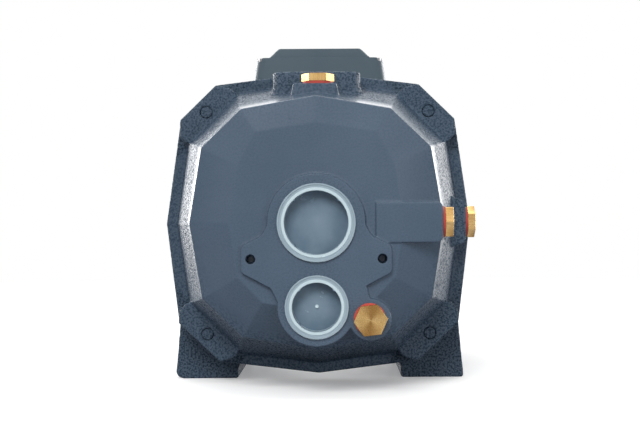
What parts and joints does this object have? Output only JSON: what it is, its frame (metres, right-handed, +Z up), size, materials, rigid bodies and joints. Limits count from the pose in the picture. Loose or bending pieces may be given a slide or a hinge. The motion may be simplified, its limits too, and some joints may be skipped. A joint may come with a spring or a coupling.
{
  "type": "jet pump",
  "caption": "Cast iron convertible jet pump with facetted casing, capped suction and drive ports, brass plugs, wide feet and a close-coupled finned motor with a terminal box.",
  "frame": {"origin": "centre of the four base bolt holes, on the underside of the feet", "axes": "+Z up, +Y back along the shaft from the suction face to the motor's fan cover, +X to the right seen from the suction face"},
  "size_m": [0.2042, 0.3505, 0.2389],
  "materials": {
    "casing_paint": "slate grey paint on rough cast iron",
    "motor_paint": "slate grey paint on die-cast aluminium",
    "box_paint": "slate grey paint on die-cast aluminium",
    "cover_paint": "slate grey paint on pressed steel",
    "bolt_paint": "slate grey paint on steel",
    "gasket": "black moulded rubber",
    "bolt_steel": "zinc plated",
    "shaft_steel": "ground stainless steel",
    "bearing_steel": "polished bearing steel",
    "lamination_steel": "stacked laminations",
    "cast_aluminium": "as cast",
    "copper_wire": "enamelled copper wire",
    "pump_plastic": "black moulded glass-filled plastic",
    "fan_plastic": "black moulded plastic",
    "board_plastic": "moulded thermoset",
    "capacitor_plastic": "white plastic can",
    "gland_plastic": "black nylon",
    "brass": "machined brass",
    "red_fibre": "red sealing fibre",
    "seal_ceramic": "lapped white ceramic",
    "seal_carbon": "lapped carbon in a steel shell",
    "cap_plastic": "translucent natural plastic"
  },
  "bodies": {
    "pump_body": {"pump_casing": "casing_paint", "casing_gasket": "gasket", "casing_bolts": "bolt_paint", "motor_bracket": "casing_paint", "diffuser": "pump_plastic", "diffuser_seal": "gasket", "seal_seat": "seal_ceramic", "seal_seat_cup": "gasket", "preload_washer": "bolt_steel", "stator_core": "lamination_steel", "stator_windings": "copper_wire", "motor_frame": "motor_paint", "rear_endshield": "motor_paint", "tie_bolts": "bolt_steel", "fan_cover": "cover_paint", "fan_cover_screws": "bolt_steel", "terminal_box_base": "box_paint", "terminal_box_gasket": "gasket", "terminal_box_cover": "box_paint", "terminal_cover_screws": "bolt_steel", "capacitor": "capacitor_plastic", "capacitor_clip": "bolt_steel", "terminal_board": "board_plastic", "terminal_studs": "brass", "earth_screw": "brass", "cable_gland": "gland_plastic", "gland_nut": "gland_plastic", "gland_seal": "gasket", "front_bearing_outer_ring": "bearing_steel", "rear_bearing_outer_ring": "bearing_steel"},
    "rotor": {"shaft": "shaft_steel", "impeller": "pump_plastic", "impeller_key": "bolt_steel", "impeller_nut": "shaft_steel", "seal_head": "seal_carbon", "seal_spring": "bolt_steel", "slinger": "gasket", "front_bearing_inner_ring": "bearing_steel", "rear_bearing_inner_ring": "bearing_steel", "rotor_core": "lamination_steel", "rotor_end_rings": "cast_aluminium", "cooling_fan": "fan_plastic", "fan_clip": "bolt_steel"},
    "front_balls": {"front_bearing_balls": "bearing_steel", "front_bearing_cage": "bearing_steel"},
    "rear_balls": {"rear_bearing_balls": "bearing_steel", "rear_bearing_cage": "bearing_steel"},
    "suction_cap": {"suction_cap": "cap_plastic"},
    "drive_cap": {"drive_cap": "cap_plastic"},
    "priming_washer": {"priming_washer": "red_fibre"},
    "priming_plug": {"priming_plug": "brass"},
    "vacuum_gauge_washer": {"vacuum_gauge_washer": "red_fibre"},
    "vacuum_gauge_plug": {"vacuum_gauge_plug": "brass"},
    "pressure_gauge_washer": {"pressure_gauge_washer": "red_fibre"},
    "pressure_gauge_plug": {"pressure_gauge_plug": "brass"},
    "drain_washer": {"drain_washer": "red_fibre"},
    "drain_plug": {"drain_plug": "brass"}
  },
  "joints": [
    {"name": "rotor_spin", "type": "hinge", "parent": "pump_body", "child": "rotor", "pos_m": [0, 0, 0.106], "axis": [0, 1, 0], "continuous": true},
    {"name": "front_balls_orbit", "type": "hinge", "parent": "pump_body", "child": "front_balls", "pos_m": [0, 0, 0.106], "axis": [0, 1, 0], "continuous": true},
    {"name": "rear_balls_orbit", "type": "hinge", "parent": "pump_body", "child": "rear_balls", "pos_m": [0, 0, 0.106], "axis": [0, 1, 0], "continuous": true},
    {"name": "suction_cap_pull", "type": "slide", "parent": "pump_body", "child": "suction_cap", "axis": [0, -1, 0], "range_m": [0, 0.04]},
    {"name": "drive_cap_pull", "type": "slide", "parent": "pump_body", "child": "drive_cap", "axis": [0, -1, 0], "range_m": [0, 0.04]},
    {"name": "priming_plug_rise", "type": "slide", "parent": "pump_body", "child": "priming_washer", "axis": [0, 0, 1], "range_m": [0, 0.0107]},
    {"name": "priming_plug_turn", "type": "hinge", "parent": "priming_washer", "child": "priming_plug", "pos_m": [0.001, -0.1217, 0.1922], "axis": [0, 0, 1], "range_deg": [0, 2880]},
    {"name": "vacuum_gauge_plug_rise", "type": "slide", "parent": "pump_body", "child": "vacuum_gauge_washer", "axis": [1, 0, 0], "range_m": [0, 0.0107]},
    {"name": "vacuum_gauge_plug_turn", "type": "hinge", "parent": "vacuum_gauge_washer", "child": "vacuum_gauge_plug", "pos_m": [0.0765, -0.141, 0.106], "axis": [1, 0, 0], "range_deg": [0, 2880]},
    {"name": "pressure_gauge_plug_rise", "type": "slide", "parent": "pump_body", "child": "pressure_gauge_washer", "axis": [1, 0, 0], "range_m": [0, 0.0107]},
    {"name": "pressure_gauge_plug_turn", "type": "hinge", "parent": "pressure_gauge_washer", "child": "pressure_gauge_plug", "pos_m": [0.0962, -0.081, 0.106], "axis": [1, 0, 0], "range_deg": [0, 2880]},
    {"name": "drain_plug_rise", "type": "slide", "parent": "pump_body", "child": "drain_washer", "axis": [0, -1, 0], "range_m": [0, 0.0107]},
    {"name": "drain_plug_turn", "type": "hinge", "parent": "drain_washer", "child": "drain_plug", "pos_m": [0.0323, -0.155, 0.0475], "axis": [0, -1, 0], "range_deg": [0, 2880]}
  ],
  "couplings": [
    {"joint": "front_balls_orbit", "follows": "rotor_spin", "ratio": 0.3807},
    {"joint": "rear_balls_orbit", "follows": "rotor_spin", "ratio": 0.38},
    {"joint": "priming_plug_rise", "follows": "priming_plug_turn", "m_per_rad": 0.00021279},
    {"joint": "vacuum_gauge_plug_rise", "follows": "vacuum_gauge_plug_turn", "m_per_rad": 0.00021279},
    {"joint": "pressure_gauge_plug_rise", "follows": "pressure_gauge_plug_turn", "m_per_rad": 0.00021279},
    {"joint": "drain_plug_rise", "follows": "drain_plug_turn", "m_per_rad": 0.00021279}
  ]
}
